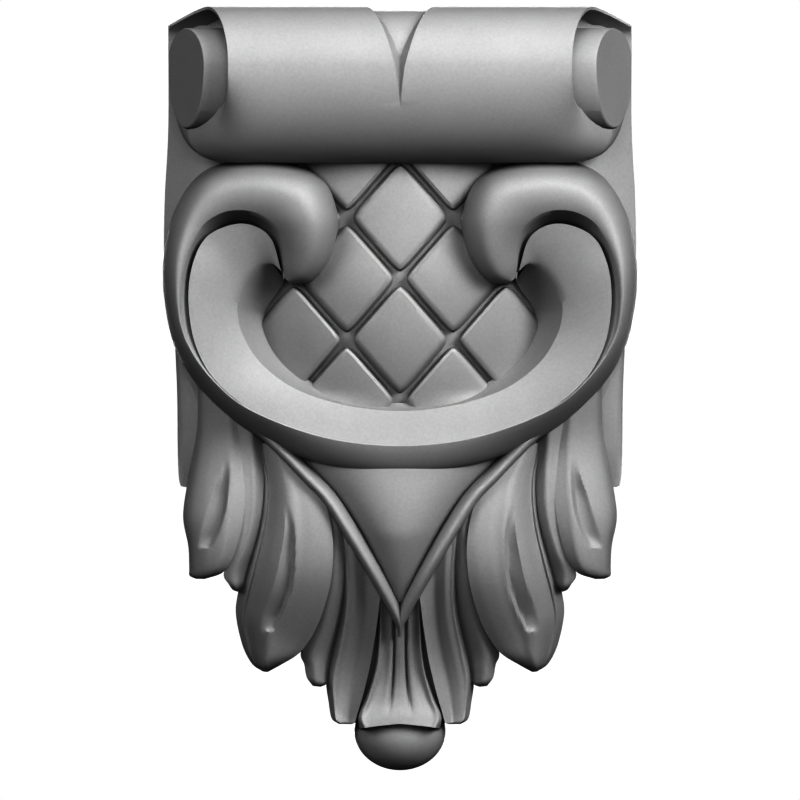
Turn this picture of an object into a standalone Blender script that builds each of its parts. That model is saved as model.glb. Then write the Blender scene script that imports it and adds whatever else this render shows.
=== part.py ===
"""Carved corbel bracket: one block of pale grey stone, fixed by its flat back.

+X is the viewer's right, +Z is up and the front faces -Y. The origin is the middle of the flat back.
Shapes are drawn in millimetres as (x, depth, z), where depth is the distance from the back,
and x of a drawn outline is the distance from the centre line. Both halves are alike.
"""
import math

import bmesh
import bpy
import numpy as np

MM = 0.001

# Overall sizes in millimetres
TOP_Z = 160.1
SHELF_Z = 152.6
HALF_WIDTH = 97.1
NODE = "carved_corbel"

# Centre line profile of the carved face, as (z, depth)
FACE_PROFILE = [(-160, 17), (-147, 19), (-130, 23.5), (-114, 31), (-95, 44.5), (-76, 56.5),
                (-50, 64.5), (-21, 69.2), (-4, 74.6), (17, 82.6), (38, 88.5), (60, 91.6), (160, 92.3)]
SIDE_FALL = 15.0
SIDE_FALL_AT = 90.0

# Half-width of the body behind the carving, as (z, half-width)
BODY_PROFILE = [(-149, 9), (-141, 14), (-132, 20), (-124, 27), (-112, 39), (-100, 52), (-86, 62), (-78, 68),
                (-66, 78), (-52, 85), (-38, 88.5), (-4, 90.5), (15, 91.5), (33, 96.4), (54, 98.9), (80, 98.6),
                (110, 97.1), (SHELF_Z, 97.1)]
BODY_COLUMNS = (0.0, 0.25, 0.5, 0.72, 0.86, 0.95, 1.0)
BODY_CORNER = 9.0
BODY_THIN = 4.0
FIELD_SINK = 1.3
LEAF_SINK = 5.5
LEAF_TOP_Z = -10.0

# Top roll: an egg-shaped scroll lying across the bracket
ROLL_DEPTH = 92.3
ROLL_Z = 135.4
ROLL_REACH = 32.7
ROLL_UP = TOP_Z - ROLL_Z
ROLL_DOWN = 40.7
ROLL_ROWS = 40
ROLL_SHARES = (0.0, 0.4, 0.72, 0.83, 0.92, 0.97, 1.0)
ROLL_ROUND = 20.0
RIM_FRONT_X = 71.7
RIM_SLANT = 8.8
RIM_FLARE = 0.00478
WINDING_START = -20.0
WINDING_SPAN = 60.0
TUCK_START = 140.0
TUCK_SPAN = 35.0
EYE_SCALE = 0.64
EYE_FRONT_X = 82.0
EYE_TILT = math.radians(20.0)
NOTCH_HALF_WIDTH = 14.9
NOTCH_DEPTH = 2.3
NOTCH_WALL = 1.7
NOTCH_LEAST = 1.2
NOTCH_CURVE = 1.3
NOTCH_TIP_ANGLE = -25.7

# C-scroll: paired outlines as (x, z), from the inner bulb round to the centre line
TUBE_OUTER = [(45.4, 44.2), (36.5, 45.6), (28.5, 56.1), (26.0, 73.3), (34.4, 90.1), (60.0, 96.5),
              (81.8, 91.7), (94.4, 75.0), (99.2, 53.6), (98.1, 33.0), (93.1, 15.0), (80.5, -3.5),
              (62.5, -18.1), (33.6, -29.9), (0.0, -33.7)]
TUBE_INNER = [(48.2, 46.6), (48.6, 51.1), (49.3, 59.9), (51.6, 67.4), (57.9, 72.9), (65.8, 75.0),
              (74.7, 73.7), (83.0, 67.8), (89.3, 54.4), (91.4, 37.6), (88.9, 21.7), (78.8, 5.3),
              (62.1, -8.5), (31.5, -19.8), (0.0, -23.2)]
TUBE_HEIGHT = [5, 14, 18.5, 19, 18, 16.5, 15.5, 14.5, 13.5, 13, 12.5, 12.5, 12, 11.5, 11.5]
TUBE_CREST = [0.5, 0.5, 0.5, 0.5, 0.5, 0.52, 0.6, 0.7, 0.82, 0.88, 0.88, 0.88, 0.88, 0.88, 0.88]
FACE_RIM = [(49.5, 49.4), (54.5, 64.1), (65.8, 69.5), (79.7, 64.9), (86.4, 53.6), (88.5, 37.6), (85.6, 18.8),
            (76.3, 2.8), (57.9, -11.0), (31.5, -20.4), (0.0, -23.8)]
FACE_CREASE = [(53.3, 52.7), (57.9, 51.9), (62.1, 48.5), (65.4, 43.9), (67.5, 38.1), (67.9, 31.4),
               (65.4, 22.1), (57.9, 10.8), (43.6, 0.3), (23.1, -6.4), (0.0, -8.9)]
FACE_LIP = [(48.2, 45.6), (49.5, 43.5), (51.2, 41.0), (53.3, 38.1), (55.4, 34.7), (56.6, 30.5),
            (54.5, 22.5), (48.7, 13.3), (37.7, 3.7), (21.0, -4.7), (0.0, -5.6)]
RIM_HEIGHT = [4, 6, 6, 8, 10, 11, 11, 10.5, 9.5, 8.5, 8]
CREASE_HEIGHT = [3, 3, 3.5, 5, 7.5, 9, 9, 8, 7, 6, 6]
LIP_HEIGHT = -1.5
TUBE_FOOT = 8.0
TUBE_THICKNESS = 16.0
FACE_BULGE = 0.6
FACE_THICKNESS = 8.0

# Lattice of diamond pads
PAD_STEP_X = 22.2
PAD_STEP_Z = 25.46
PAD_TOP_Z = 97.4
PAD_INSET = 0.088
PAD_HEIGHT = 2.4
PAD_ROWS = 5
PAD_COLUMNS = 3
PAD_LOW_Z = -8.0
PAD_HIGH_Z = 98.0
PAD_REACH = 62.0
PAD_SINK = 1.6
PAD_THICKNESS = 6.0

# V moulding and the panel inside it
V_OUTER = [(62.9, -16.0), (51.6, -26.9), (40.7, -38.3), (32.7, -46.7), (24.7, -59.2), (13.8, -77.3),
           (1.7, -99.1), (0.0, -103.7)]
V_INNER = [(48.7, -17.7), (41.9, -24.4), (34.4, -32.0), (24.7, -42.5), (16.8, -53.4), (6.7, -72.2),
           (1.3, -86.5), (0.0, -89.4)]
V_HEIGHT = 5.2
V_EDGE = 2.5
V_THICKNESS = 10.0
PANEL_LAP = 1.5
PANEL_RISE = 1.8
PANEL_CROWN = 2.2

# Leaf lobes, as paired outlines from the root to the tip, with a height across each lobe as (share, height)
LOBES = {
    "outer": dict(
        outer=[(84.7, 4.1), (85.1, -16.5), (89.3, -39.5), (91.0, -53.4), (88.9, -65.5), (88.1, -71.8),
               (88.9, -79.0)],
        inner=[(68.8, -4.3), (65.8, -22.3), (64.6, -40.8), (65.8, -54.6), (68.8, -66.4), (71.3, -72.2),
               (73.4, -76.9)],
        across=[(0, -5), (0.12, 0), (0.35, 3.5), (0.6, 4.5), (0.78, 4.5), (0.9, 1), (1, -3)],
        rows=10, thickness=17),
    "outer_small": dict(
        outer=[(70.5, -4.3), (67.1, -22.3), (65.4, -40.8), (66.3, -54.6), (69.2, -66.4), (73.8, -76.9),
               (72.1, -83.1)],
        inner=[(59.6, -4.3), (57.9, -25.3), (57.5, -46.2), (58.7, -56.3), (62.1, -68.0), (65.0, -78.5),
               (67.5, -84.8)],
        across=[(0, -3), (0.35, 0), (0.6, 1.5), (0.85, -1.5), (1, -5)],
        rows=8, thickness=15),
    "middle": dict(
        outer=[(57.9, -21.1), (55.4, -37.9), (57.0, -54.6), (62.1, -71.4), (67.1, -85.2), (68.8, -94.5),
               (66.3, -107.1), (57.9, -118.4)],
        inner=[(46.0, -27.0), (33.5, -42.0), (28.3, -61.0), (28.9, -79.8), (33.6, -96.6), (39.4, -107.5),
               (48.2, -115.0), (56.2, -118.8)],
        across=[(0, -5), (0.1, 0), (0.3, 4), (0.55, 5), (0.7, 3.5), (0.9, -0.5), (1, -3)],
        rows=11, thickness=16),
    "middle_small": dict(
        outer=[(37.0, -36.5), (31.0, -54.6), (31.9, -77.7), (36.9, -96.6), (42.4, -111.2), (40.3, -115.4),
               (39.0, -123.0)],
        inner=[(22.5, -53.5), (22.0, -67.0), (23.1, -84.0), (26.0, -100.8), (29.4, -113.3), (30.2, -119.6),
               (31.0, -124.2)],
        across=[(0, -3), (0.4, -1), (0.7, 0.5), (1, -3.5)],
        rows=8, thickness=14),
    "inner": dict(
        outer=[(23.5, -55.0), (22.2, -71.4), (22.2, -90.3), (26.0, -108.7), (29.4, -122.2), (29.8, -131.4),
               (26.0, -139.8)],
        inner=[(7.5, -81.0), (8.8, -92.0), (10.3, -103.0), (12.4, -115.4), (15.1, -126.8), (18.0, -136.4),
               (19.3, -140.6)],
        across=[(0, -3), (0.15, 2.5), (0.35, 2.5), (0.65, -1), (0.88, 2.5), (1, -1)],
        rows=10, thickness=14),
}
CENTRE_LEAF = [(8.6, -80.0), (9.3, -92.0), (10.5, -105.0), (12.6, -118.4), (15.9, -132.2), (17.6, -137.7),
               (15.5, -142.7)]
CENTRE_ACROSS = [(0, -1), (0.08, 3.5), (0.28, 2.2), (0.4, 3.2), (0.5, 4), (0.6, 3.2), (0.72, 2.2),
                 (0.92, 3.5), (1, -1)]
CENTRE_ROOT_DROP = 18.0
CENTRE_TIP_DROP = 1.5
CENTRE_THICKNESS = 14.0
TIP_SHARE = 0.84
TIP_DROP = 7.0

# Leaves on the side faces, as paired outlines (depth, z)
SIDE_LEAVES = [
    dict(front=[(50, 20), (47, -5), (46, -22), (41, -40.8)],
         rear=[(24, 20), (24, -5), (27, -22), (38, -40.0)]),
    dict(front=[(27, 20), (28, -8), (28, -24), (21, -37)],
         rear=[(5, 20), (5, -10), (9, -24), (18, -36)]),
]
SIDE_LEAF_HEIGHT = 4.0
SIDE_LEAF_ROOT = 8.0

# Ball at the foot
BALL_RADIUS = 19.1
BALL_DEPTH = 9.4
BALL_Z = -141.0
BACK_GAP = 0.6


def clear_scene():
    for item in list(bpy.data.objects):
        bpy.data.objects.remove(item, do_unlink=True)


def curve(points, count):
    """Smooth curve through the points; the points lie at even steps of its parameter."""
    p = np.array(points, float)
    p = np.vstack([2 * p[0] - p[1], p, 2 * p[-1] - p[-2]])
    u = np.linspace(0.0, len(points) - 1.0, count)
    i = np.minimum(u.astype(int), len(points) - 2)
    f = (u - i)[:, None]
    a, b, c, d = p[i], p[i + 1], p[i + 2], p[i + 3]
    square = (2 * a - 5 * b + 4 * c - d) * f ** 2
    cube = (3 * b - a - 3 * c + d) * f ** 3
    return 0.5 * (2 * b + (c - a) * f + square + cube)


def values(numbers, count):
    """The same smooth reading for a plain list of numbers."""
    return curve([(n, 0.0) for n in numbers], count)[:, 0]


FACE_TABLE = curve(FACE_PROFILE, 400)


def face_depth(x, z):
    """Depth of the carved face without its relief."""
    centre = np.interp(z, FACE_TABLE[:, 0], FACE_TABLE[:, 1])
    return centre - SIDE_FALL * (np.abs(x) / SIDE_FALL_AT) ** 2


def mesh_object(name, points, faces):
    """Closed object from points (x, depth, z) in millimetres."""
    mesh = bpy.data.meshes.new(name)
    mesh.from_pydata([(x * MM, -depth * MM, z * MM) for x, depth, z in points], [], faces)
    builder = bmesh.new()
    builder.from_mesh(mesh)
    bmesh.ops.recalc_face_normals(builder, faces=builder.faces)
    builder.to_mesh(mesh)
    builder.free()
    item = bpy.data.objects.new(name, mesh)
    bpy.context.scene.collection.objects.link(item)
    return item


def slab(name, front, back):
    """Closed solid between a front grid and a back grid of points."""
    rows, columns = front.shape[:2]
    layer = rows * columns
    faces = []
    for r in range(rows - 1):
        for c in range(columns - 1):
            a = r * columns + c
            quad = (a, a + 1, a + columns + 1, a + columns)
            faces.append(quad)
            faces.append(tuple(layer + v for v in reversed(quad)))
    edge = [(0, c) for c in range(columns - 1)] + [(r, columns - 1) for r in range(rows - 1)]
    edge += [(rows - 1, c) for c in range(columns - 1, 0, -1)] + [(r, 0) for r in range(rows - 1, 0, -1)]
    ring = [r * columns + c for r, c in edge]
    for a, b in zip(ring, ring[1:] + ring[:1]):
        faces.append((a, a + layer, b + layer, b))
    return mesh_object(name, np.vstack([front.reshape(-1, 3), back.reshape(-1, 3)]), faces)


def strip(name, left, right, heights, shares, thickness, side=1):
    """Carved strip between two outlines, standing by its heights above the face."""
    s = np.array(shares)[None, :]
    x = left[:, :1] * (1 - s) + right[:, :1] * s
    z = left[:, 1:] * (1 - s) + right[:, 1:] * s
    base = face_depth(x, z)
    front = np.stack([side * x, base + heights, z], axis=2)
    back = np.stack([side * x, np.maximum(base - thickness, BACK_GAP), z], axis=2)
    return slab(name, front, back)


def both_halves(half):
    """Outline of the left half carried on over the centre line to the right."""
    mirrored = half[-2::-1] * np.array([-1.0, 1.0])
    return np.vstack([half, mirrored])


def body():
    """Block behind the carving, with a flat back and rounded front corners."""
    shares = np.array([-c for c in BODY_COLUMNS[:0:-1]] + list(BODY_COLUMNS))
    z = np.array([p[0] for p in BODY_PROFILE], float)[:, None]
    width = np.array([p[1] for p in BODY_PROFILE], float)[:, None]
    x = width * shares[None, :]
    sink = np.where(z > LEAF_TOP_Z, FIELD_SINK, LEAF_SINK)
    corner = BODY_CORNER * np.abs(shares[None, :]) ** 8
    depth = face_depth(x, z) - sink - corner
    front = np.stack([x, np.maximum(depth, BODY_THIN), z + 0 * x], axis=2)
    back = np.stack([x, 0 * x, z + 0 * x], axis=2)
    return slab("body", front, back)


def eye_end(angle):
    """Distance of the eye's slanted end from the centre."""
    reach = 1 - math.cos(math.radians(angle))
    return min(EYE_FRONT_X + EYE_SCALE * ROLL_REACH * reach * math.tan(EYE_TILT), HALF_WIDTH - 0.2)


def smooth_step(value):
    value = min(max(value, 0.0), 1.0)
    return value * value * (3 - 2 * value)


def rim(angle):
    """Rim of the outer wrap at an angle from the front: its distance from the centre, and its scale."""
    slant = RIM_FRONT_X + RIM_SLANT * (1 - math.cos(math.radians(angle)))
    flare = RIM_FLARE * max(angle - 90, 0) ** 2
    winding = smooth_step((WINDING_START - angle) / WINDING_SPAN)
    edge = slant + flare + winding * (eye_end(angle) + 0.3 - slant)
    inside = max(winding, smooth_step((angle - TUCK_START) / TUCK_SPAN))
    return min(edge, HALF_WIDTH - 0.4), 1 - inside * (1 - EYE_SCALE - 0.02)


def roll_point(x, angle, scale):
    """Point of the egg-shaped roll at an angle, shrunk towards its axis."""
    a = math.radians(angle)
    rise = ROLL_UP if a > 0 else ROLL_DOWN
    return (x, ROLL_DEPTH + scale * ROLL_REACH * math.cos(a), ROLL_Z + scale * rise * math.sin(a))


def roll_scale(x, edge, edge_scale):
    """Rounding of the wrap down to its rim."""
    share = min(max((x - edge + ROLL_ROUND) / ROLL_ROUND, 0.0), 1.0)
    return edge_scale + (1 - edge_scale) * (1 - share ** 3) ** (1 / 3)


def roll_half(angle):
    """Points along one half of the roll at an angle, from the centre out and in again to its axis."""
    reach = max((angle - NOTCH_TIP_ANGLE) / (90 - NOTCH_TIP_ANGLE), 0.0)
    notch = NOTCH_HALF_WIDTH * reach ** NOTCH_CURVE
    cut = NOTCH_DEPTH * min(notch / NOTCH_WALL, 1.0)
    notch = max(notch, NOTCH_LEAST)
    low = 1 - cut / ROLL_REACH
    edge, edge_scale = rim(angle)
    floor = min(edge - 3.0, eye_end(angle) - 1.5)
    row = [roll_point(0.0, angle, low), roll_point(max(notch - NOTCH_WALL, 0.4), angle, low)]
    for share in ROLL_SHARES:
        x = notch + (edge - notch) * share
        row.append(roll_point(x, angle, roll_scale(x, edge, edge_scale)))
    row.append(roll_point(floor, angle, EYE_SCALE + 0.01))
    row.append(roll_point(floor, angle, EYE_SCALE - 0.1))
    return row


def roll():
    """The wrap of the roll as one closed shell."""
    points = []
    for angle in np.arange(ROLL_ROWS) * 360.0 / ROLL_ROWS - 180.0:
        half = roll_half(angle)
        points += [(-x, d, z) for x, d, z in half[:0:-1]] + half
    columns = len(points) // ROLL_ROWS
    faces = []
    for r in range(ROLL_ROWS):
        n = (r + 1) % ROLL_ROWS
        for c in range(columns - 1):
            faces.append((r * columns + c, r * columns + c + 1, n * columns + c + 1, n * columns + c))
    for column in (0, columns - 1):
        faces.append([r * columns + column for r in range(ROLL_ROWS)])
    return mesh_object("roll", points, faces)


def roll_eye(side):
    """Inner winding that stands out of the roll's end, cut on a slant."""
    points = []
    for angle in np.arange(ROLL_ROWS) * 360.0 / ROLL_ROWS - 180.0:
        points.append(roll_point(side * 60.0, angle, EYE_SCALE))
        points.append(roll_point(side * eye_end(angle), angle, EYE_SCALE))
    faces = []
    for r in range(ROLL_ROWS):
        n = (r + 1) % ROLL_ROWS
        faces.append((2 * r, 2 * r + 1, 2 * n + 1, 2 * n))
    faces.append([2 * r for r in range(ROLL_ROWS)])
    faces.append([2 * r + 1 for r in range(ROLL_ROWS)])
    return mesh_object("roll_eye", points, faces)


def round_over(shares, crest):
    """Height of a rounded section with its crest at a share of its width."""
    s = np.array(shares)[None, :]
    c = crest[:, None]
    away = np.where(s < c, (c - s) / c, (s - c) / (1 - c))
    return np.sqrt(np.clip(1 - away ** 2, 0, 1))


def mirrored(numbers):
    """The left half's numbers carried on to the right."""
    return np.concatenate([numbers, numbers[-2::-1]])


def scroll_tube(rows=27, columns=8):
    """Outer rounded member of the C-scroll, from bulb to bulb."""
    shares = 0.5 - 0.5 * np.cos(np.linspace(0, math.pi, columns))
    outer = both_halves(curve(TUBE_OUTER, rows))
    inner = both_halves(curve(TUBE_INNER, rows))
    height = mirrored(values(TUBE_HEIGHT, rows))
    crest = mirrored(values(TUBE_CREST, rows))
    heights = round_over(shares, crest) * (height[:, None] + TUBE_FOOT) - TUBE_FOOT
    least = np.where(shares[None, :] > crest[:, None], -1.0, -TUBE_FOOT)
    return strip("scroll_tube", outer, inner, np.maximum(heights, least), shares, TUBE_THICKNESS)


def scroll_face(rows=19):
    """Broad inner face of the C-scroll with the bevel down to the lattice."""
    edge = both_halves(curve(FACE_RIM, rows))
    crease = both_halves(curve(FACE_CREASE, rows))
    lip = both_halves(curve(FACE_LIP, rows))
    edge_height = mirrored(values(RIM_HEIGHT, rows))
    crease_height = mirrored(values(CREASE_HEIGHT, rows))
    lines = [edge, (edge + crease) / 2, crease, (crease + lip) / 2, lip]
    levels = [edge_height, (edge_height + crease_height) / 2 + FACE_BULGE, crease_height,
              (crease_height + LIP_HEIGHT) / 2 - FACE_BULGE, 0 * edge_height + LIP_HEIGHT]
    front = []
    back = []
    for line, level in zip(lines, levels):
        base = face_depth(line[:, 0], line[:, 1])
        front.append(np.stack([line[:, 0], base + level, line[:, 1]], axis=1))
        back.append(np.stack([line[:, 0], base - FACE_THICKNESS, line[:, 1]], axis=1))
    return slab("scroll_face", np.stack(front, axis=1), np.stack(back, axis=1))


def pad_field(x, z):
    """Whether a pad's middle lies inside the C-scroll and under the roll."""
    return PAD_LOW_Z < z < PAD_HIGH_Z and abs(x) < PAD_REACH


def lattice_pad(x, z):
    """One diamond pad, a little pillowed, laid on the carved face."""
    shares = np.array([0.0, 0.08, 0.5, 0.92, 1.0])
    rise = np.array([0.0, 0.75, 1.0, 0.75, 0.0])
    u, v = np.meshgrid(shares - 0.5, shares - 0.5)
    size = 1 - 2 * PAD_INSET
    px = x + (u - v) * PAD_STEP_X * size
    pz = z + (u + v) * PAD_STEP_Z * size
    height = PAD_HEIGHT * np.minimum(rise[None, :], rise[:, None])
    base = face_depth(px, pz)
    front = np.stack([px, base - PAD_SINK + height, pz], axis=2)
    back = np.stack([px, base - PAD_THICKNESS, pz], axis=2)
    return slab("pad", front, back)


def lattice():
    pads = []
    for row in range(-1, 2 * PAD_ROWS):
        for column in range(-PAD_COLUMNS, PAD_COLUMNS + 1):
            x = column * PAD_STEP_X
            z = PAD_TOP_Z - row * PAD_STEP_Z
            if (row + column) % 2 and pad_field(x, z):
                pads.append(lattice_pad(x, z))
    return pads


def v_moulding(rows=14, columns=7):
    """Half-round moulding running down to a mitred point."""
    shares = 0.5 - 0.5 * np.cos(np.linspace(0, math.pi, columns))
    outer = both_halves(curve(V_OUTER, rows))
    inner = both_halves(curve(V_INNER, rows))
    crest = np.full(len(outer), 0.5)
    heights = round_over(shares, crest) * (V_HEIGHT + V_EDGE) - V_EDGE
    return strip("v_moulding", outer, inner, heights, shares, V_THICKNESS)


def v_panel(rows=10):
    """Smooth panel inside the V with a faint ridge on the centre line."""
    outline = curve(V_INNER, rows)
    outline[:, 0] = np.maximum(outline[:, 0] + PANEL_LAP, 1.0)
    other = outline * np.array([-1.0, 1.0])
    shares = np.array([0.0, 0.25, 0.5, 0.75, 1.0])
    heights = PANEL_RISE - PANEL_CROWN * np.abs(2 * shares - 1)[None, :] ** 1.5 + np.zeros((rows, 1))
    return strip("v_panel", outline, other, heights, shares, V_THICKNESS)


def lobe_heights(across, shares, rows):
    """Relief of a lobe: its section, rounded down towards the tip."""
    knots = np.array(across, float)
    section = np.interp(shares, knots[:, 0], knots[:, 1])
    t = np.linspace(0, 1, rows)
    beyond = np.clip((t - TIP_SHARE) / (1 - TIP_SHARE), 0, 1)
    drop = TIP_DROP * (1 - np.sqrt(1 - beyond ** 2))
    return section[None, :] - drop[:, None]


def leaf_lobe(name, side):
    lobe = LOBES[name]
    shares = [s for s, _ in lobe["across"]]
    outer = curve(lobe["outer"], lobe["rows"])
    inner = curve(lobe["inner"], lobe["rows"])
    heights = lobe_heights(lobe["across"], shares, lobe["rows"])
    return strip("lobe_" + name, outer, inner, heights, shares, lobe["thickness"], side)


def centre_leaf(rows=11):
    """Leaf under the point of the V, its root following the V."""
    knots = np.array(CENTRE_ACROSS, float)
    s = knots[None, :, 0]
    t = np.linspace(0, 1, rows)[:, None]
    edge = curve(CENTRE_LEAF, rows)
    x = edge[:, :1] * (1 - 2 * s)
    z = edge[:, 1:] - CENTRE_ROOT_DROP * (1 - t) ** 2 * (1 - np.abs(1 - 2 * s))
    heights = knots[None, :, 1] - CENTRE_TIP_DROP * t ** 8
    base = face_depth(x, z)
    front = np.stack([x, base + heights, z], axis=2)
    back = np.stack([x, np.maximum(base - CENTRE_THICKNESS, BACK_GAP), z], axis=2)
    return slab("centre_leaf", front, back)


def side_leaf(leaf, side, rows=8):
    """Leaf on a side face, standing out sideways."""
    shares = np.array([0.0, 0.25, 0.5, 0.75, 1.0])
    across = np.array([-5.0, 2.8, SIDE_LEAF_HEIGHT, 2.4, -3.0])
    front = curve(leaf["front"], rows)
    rear = curve(leaf["rear"], rows)
    s = shares[None, :]
    depth = front[:, :1] * (1 - s) + rear[:, :1] * s
    z = front[:, 1:] * (1 - s) + rear[:, 1:] * s
    profile = np.array(BODY_PROFILE, float)
    wall = np.interp(z, profile[:, 0], profile[:, 1])
    t = np.linspace(0, 1, rows)[:, None]
    stand = across[None, :] * (1 - 0.5 * t ** 4)
    outside = np.stack([side * (wall + stand), depth, z], axis=2)
    inside = np.stack([side * (wall - SIDE_LEAF_ROOT), depth, z], axis=2)
    return slab("side_leaf", outside, inside)


def ball(rows=14, columns=18):
    """Ball at the foot, cut flat just in front of the back plane."""
    points = [(0.0, BALL_DEPTH, BALL_Z - BALL_RADIUS)]
    for r in range(1, rows):
        a = math.pi * r / rows - math.pi / 2
        for c in range(columns):
            b = 2 * math.pi * c / columns
            across = BALL_RADIUS * math.cos(a) * math.sin(b)
            depth = max(BALL_DEPTH + BALL_RADIUS * math.cos(a) * math.cos(b), BACK_GAP)
            points.append((across, depth, BALL_Z + BALL_RADIUS * math.sin(a)))
    points.append((0.0, BALL_DEPTH, BALL_Z + BALL_RADIUS))
    top = len(points) - 1
    faces = []
    for c in range(columns):
        n = (c + 1) % columns
        faces.append((0, 1 + n, 1 + c))
        faces.append((top, top - columns + c, top - columns + n))
        for r in range(rows - 2):
            low = 1 + r * columns
            faces.append((low + c, low + n, low + columns + n, low + columns + c))
    return mesh_object("ball", points, faces)


def unite(target, pieces):
    """Join the pieces to the target as one solid."""
    for piece in pieces:
        cut = target.modifiers.new("join", "BOOLEAN")
        cut.operation = "UNION"
        cut.solver = "EXACT"
        cut.object = piece
        evaluated = target.evaluated_get(bpy.context.evaluated_depsgraph_get())
        mesh = bpy.data.meshes.new_from_object(evaluated)
        target.modifiers.clear()
        target.data = mesh
        bpy.data.objects.remove(piece, do_unlink=True)
    return target


def stone():
    material = bpy.data.materials.new("stone")
    material.use_nodes = True
    shader = material.node_tree.nodes["Principled BSDF"]
    shader.inputs["Base Color"].default_value = (0.53, 0.53, 0.53, 1.0)
    shader.inputs["Roughness"].default_value = 0.6
    shader.inputs["Metallic"].default_value = 0.0
    return material


def carving():
    """Everything that stands on the body."""
    pieces = [roll(), roll_eye(1), roll_eye(-1), scroll_face(), scroll_tube()]
    pieces += lattice()
    pieces += [v_panel(), v_moulding()]
    for name in LOBES:
        pieces += [leaf_lobe(name, side) for side in (1, -1)]
    pieces += [centre_leaf(), ball()]
    for leaf in SIDE_LEAVES:
        pieces += [side_leaf(leaf, side) for side in (1, -1)]
    return pieces


def main():
    clear_scene()
    corbel = unite(body(), carving())
    corbel.name = NODE
    corbel.data.name = NODE
    corbel.data.materials.clear()
    corbel.data.materials.append(stone())
    corbel.data.shade_smooth()
    corbel.data.set_sharp_from_angle(angle=math.radians(38.0))


main()
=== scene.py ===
"""Carved corbel bracket in pale grey stone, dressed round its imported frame.

+X is the viewer's right, +Z is up and the carved front faces -Y. The flat back lies on Y = 0.
Carving is drawn in millimetres as (x, depth, z), where depth is the distance from the back,
and x of a drawn outline is the distance from the centre line. Both halves are alike.
"""
import math

import bmesh
import bpy
import numpy as np
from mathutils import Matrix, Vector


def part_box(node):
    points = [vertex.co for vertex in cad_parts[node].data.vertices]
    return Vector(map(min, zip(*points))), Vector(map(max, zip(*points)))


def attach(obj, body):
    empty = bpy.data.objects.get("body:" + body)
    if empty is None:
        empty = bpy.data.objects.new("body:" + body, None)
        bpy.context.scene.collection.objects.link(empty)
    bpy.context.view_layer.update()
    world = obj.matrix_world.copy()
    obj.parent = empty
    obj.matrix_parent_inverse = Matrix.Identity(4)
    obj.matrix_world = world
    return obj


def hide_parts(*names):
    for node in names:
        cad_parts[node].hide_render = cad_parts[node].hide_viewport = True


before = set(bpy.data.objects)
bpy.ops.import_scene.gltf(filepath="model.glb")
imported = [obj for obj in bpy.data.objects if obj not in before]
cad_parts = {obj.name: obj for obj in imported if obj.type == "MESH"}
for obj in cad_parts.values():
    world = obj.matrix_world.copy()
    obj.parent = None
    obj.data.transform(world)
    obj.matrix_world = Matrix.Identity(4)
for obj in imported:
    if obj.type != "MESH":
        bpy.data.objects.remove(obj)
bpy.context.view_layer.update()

MM = 0.001
LOW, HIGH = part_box("carved_corbel")

# Overall sizes in millimetres: the top and the front are read from the frame, the half-width is the roll's
TOP_Z = HIGH.z / MM
FRONT_DEPTH = -LOW.y / MM
SHELF_DROP = 7.5
SHELF_Z = TOP_Z - SHELF_DROP
HALF_WIDTH = 97.1
BACK_GAP = 0.6

# Centre line profile of the carved face, as (z, depth)
FACE_PROFILE = [(-160, 17), (-147, 19), (-130, 23.5), (-114, 31), (-95, 45.5), (-76, 58.5),
                (-50, 66.2), (-21, 68.6), (-4, 75.4), (17, 83.6), (38, 89.4), (60, 92), (160, 92.3)]
FACE_STEPS = 400
FACE_EASE = 16.0
EASE_STEPS = 9
SIDE_FALL = 15.0
SIDE_FALL_AT = 90.0

# Half-width of the body behind the carving, as (z, half-width)
BODY_PROFILE = [(-150, 9), (-141, 18.4), (-134, 21.5), (-124, 29), (-112, 39), (-100, 52), (-86, 62),
                (-78, 68), (-66, 78), (-52, 85), (-38, 88.5), (-4, 90.5), (15, 92.6), (33, 97.6),
                (54, 98.9), (80, 98.6), (110, HALF_WIDTH), (SHELF_Z, HALF_WIDTH)]
BODY_STEPS = 200
BODY_CROWDING = 1.6
BODY_CORNER = 9.0
BODY_CORNER_POWER = 8
BODY_THIN = 4.0

# Fall of the lattice field to each side, and how far the body lies below the carving
HOLLOWED = 8.0
HOLLOWED_AT = 44.0
HOLLOWED_TO = 58.0
HOLLOWED_FADE = 15.0
FIELD_SINK = 5.0
FIELD_FADE = 10.0
LEAF_SINK = 5.5
LEAF_TOP_Z = -10.0

# Top roll: an egg-shaped scroll lying across the bracket
ROLL_REACH = 32.7
ROLL_DEPTH = FRONT_DEPTH - ROLL_REACH
ROLL_Z = 135.4
ROLL_UP = TOP_Z - ROLL_Z
ROLL_DOWN = 40.7
ROLL_ROUND = 22.0
ROLL_POWER = 2.4
ROLL_CROWDING = 2.2
RIM_FRONT_X = 71.7
RIM_SLANT = 8.8
RIM_FLARE = 0.00478
RIM_PAST_EYE = 0.3
RIM_SIDE_GAP = 0.4
WINDING_START = -10.0
WINDING_SPAN = 80.0
TUCK_UNDER = -4.0
TUCK_UNDER_SPAN = 50.0
WRAP_OUT = -1.2
WRAP_OUT_START = -60.0
WRAP_OUT_SPAN = 25.0
WRAP_WALL = 0.05
CAVITY = 13.0
CAVITY_LEAST = 1.5
TUCK_START = 140.0
TUCK_SPAN = 35.0
TUCK_CLEARANCE = 0.02
EYE_SCALE = 0.64
EYE_FRONT_X = 82.0
EYE_ROOT_X = 60.0
EYE_TILT = math.radians(20.0)
EYE_BEVEL = 0.6
EYE_SIDE_GAP = 0.2
EYE_LAP = 0.1

# Clearances between the wrap, its floor and the eye, as shares of the roll's size
WRAP_CLEARANCE = 0.01
FLOOR_CLEARANCE = 0.005

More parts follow.
